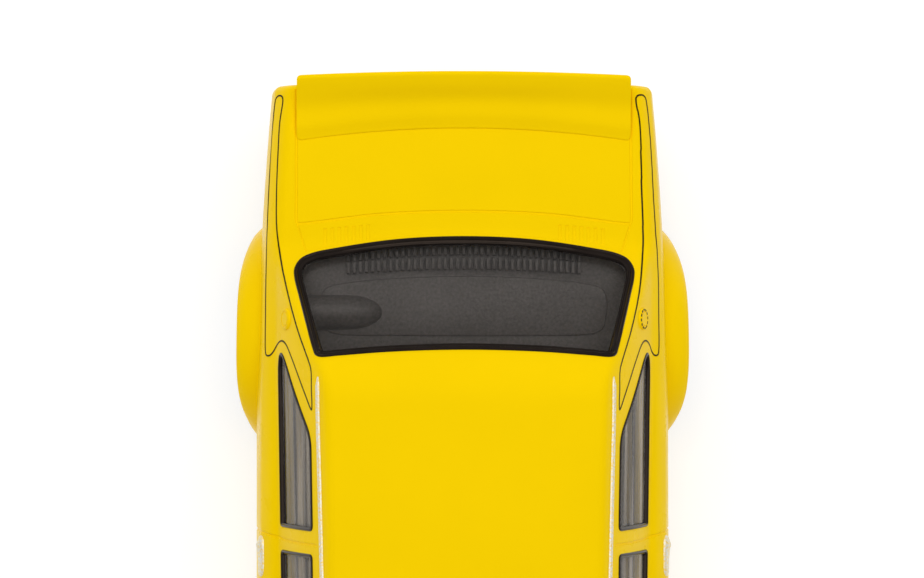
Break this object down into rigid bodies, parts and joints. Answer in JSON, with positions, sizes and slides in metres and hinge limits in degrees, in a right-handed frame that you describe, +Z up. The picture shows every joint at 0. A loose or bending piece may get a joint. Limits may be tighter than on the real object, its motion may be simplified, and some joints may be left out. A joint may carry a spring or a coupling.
{
  "type": "slot car",
  "caption": "Slot car: yellow racing saloon shell with flared arches and boot spoiler on a geared chassis, with turning axles, a motor drive and a swinging guide blade.",
  "frame": {"origin": "on the track surface under the tyres, on the car's centre plane, halfway between nose and tail panel", "axes": "+Y towards the tail, +Z up, +X towards the left side of the car as its driver sits"},
  "size_m": [0.0558, 0.1263, 0.0466],
  "materials": {
    "yellow_body": "glossy moulded and lacquered yellow",
    "black_trim": "satin black moulding",
    "interior_plastic": "matt dark grey moulding",
    "smoked_glass": "polished clear moulding with a light smoke tint",
    "clear_lens": "polished clear moulding",
    "red_lens": "glossy red tinted moulding",
    "plated_bowl": "bright vacuum plating",
    "silver_paint": "silver paint",
    "silver_wheel": "silver painted plastic",
    "tyre_rubber": "matt black rubber",
    "driver_suit": "matt dark blue paint",
    "helmet_paint": "glossy white paint",
    "chassis_plastic": "fine textured black moulding",
    "steel_screw": "zinc plated",
    "magnet_nickel": "nickel plated",
    "brass_bush": "turned brass",
    "can_steel": "pressed plated steel",
    "axle_steel": "ground steel",
    "bell_plastic": "off-white moulding",
    "ferrite": "sintered ferrite",
    "copper_parts": "bare and enamelled copper",
    "gear_nylon": "natural nylon",
    "tinned_braid": "tinned copper braid",
    "lead_red": "red insulated lead",
    "lead_black": "black insulated lead"
  },
  "bodies": {
    "car": {"body_shell": "yellow_body", "boot_spoiler": "yellow_body", "front_air_dam": "yellow_body", "grille": "black_trim", "headlamp_reflectors": "plated_bowl", "headlamp_lenses": "clear_lens", "tail_lamp_lenses": "red_lens", "glazing": "smoked_glass", "windscreen_wipers": "black_trim", "door_mirror_left": "yellow_body", "door_mirror_right": "yellow_body", "interior_tray": "interior_plastic", "steering_wheel": "black_trim", "driver_torso": "driver_suit", "driver_helmet": "helmet_paint", "chassis": "chassis_plastic", "service_hatch": "chassis_plastic", "hatch_screw": "steel_screw", "body_screws": "steel_screw", "traction_magnet": "magnet_nickel", "exhaust_pipe": "silver_paint", "rear_axle_bushes": "brass_bush", "front_axle_bushes": "brass_bush", "motor_can": "can_steel", "motor_end_bell": "bell_plastic", "motor_magnets": "ferrite", "motor_brushes": "copper_parts", "motor_terminals": "brass_bush", "contact_plates": "brass_bush", "lead_wire_left": "lead_red", "lead_wire_right": "lead_black"},
    "motor_rotor": {"motor_shaft": "axle_steel", "armature_core": "can_steel", "armature_windings": "copper_parts", "commutator": "copper_parts", "pinion": "brass_bush"},
    "rear_axle_set": {"rear_axle": "axle_steel", "axle_gear": "gear_nylon", "rear_wheel_left": "silver_wheel", "rear_wheel_right": "silver_wheel", "rear_wheel_insert_left": "silver_wheel", "rear_wheel_insert_right": "silver_wheel", "rear_tyre_left": "tyre_rubber", "rear_tyre_right": "tyre_rubber"},
    "front_axle_set": {"front_axle": "axle_steel", "front_wheel_left": "silver_wheel", "front_wheel_right": "silver_wheel", "front_wheel_insert_left": "silver_wheel", "front_wheel_insert_right": "silver_wheel", "front_tyre_left": "tyre_rubber", "front_tyre_right": "tyre_rubber"},
    "guide_set": {"guide": "chassis_plastic", "pickup_braid_left": "tinned_braid", "pickup_braid_right": "tinned_braid"}
  },
  "joints": [
    {"name": "rear_axle_spin", "type": "hinge", "parent": "car", "child": "rear_axle_set", "pos_m": [0, 0.0322, 0.0096], "axis": [1, 0, 0], "continuous": true},
    {"name": "motor_spin", "type": "hinge", "parent": "car", "child": "motor_rotor", "pos_m": [0, 0.02116, 0.0096], "axis": [1, 0, 0], "continuous": true},
    {"name": "front_axle_spin", "type": "hinge", "parent": "car", "child": "front_axle_set", "pos_m": [0, -0.0428, 0.0096], "axis": [1, 0, 0], "continuous": true},
    {"name": "guide_swing", "type": "hinge", "parent": "car", "child": "guide_set", "pos_m": [0, -0.0535, 0], "axis": [0, 0, 1], "range_deg": [-50, 50]}
  ],
  "couplings": [
    {"joint": "motor_spin", "follows": "rear_axle_spin", "ratio": -3}
  ]
}
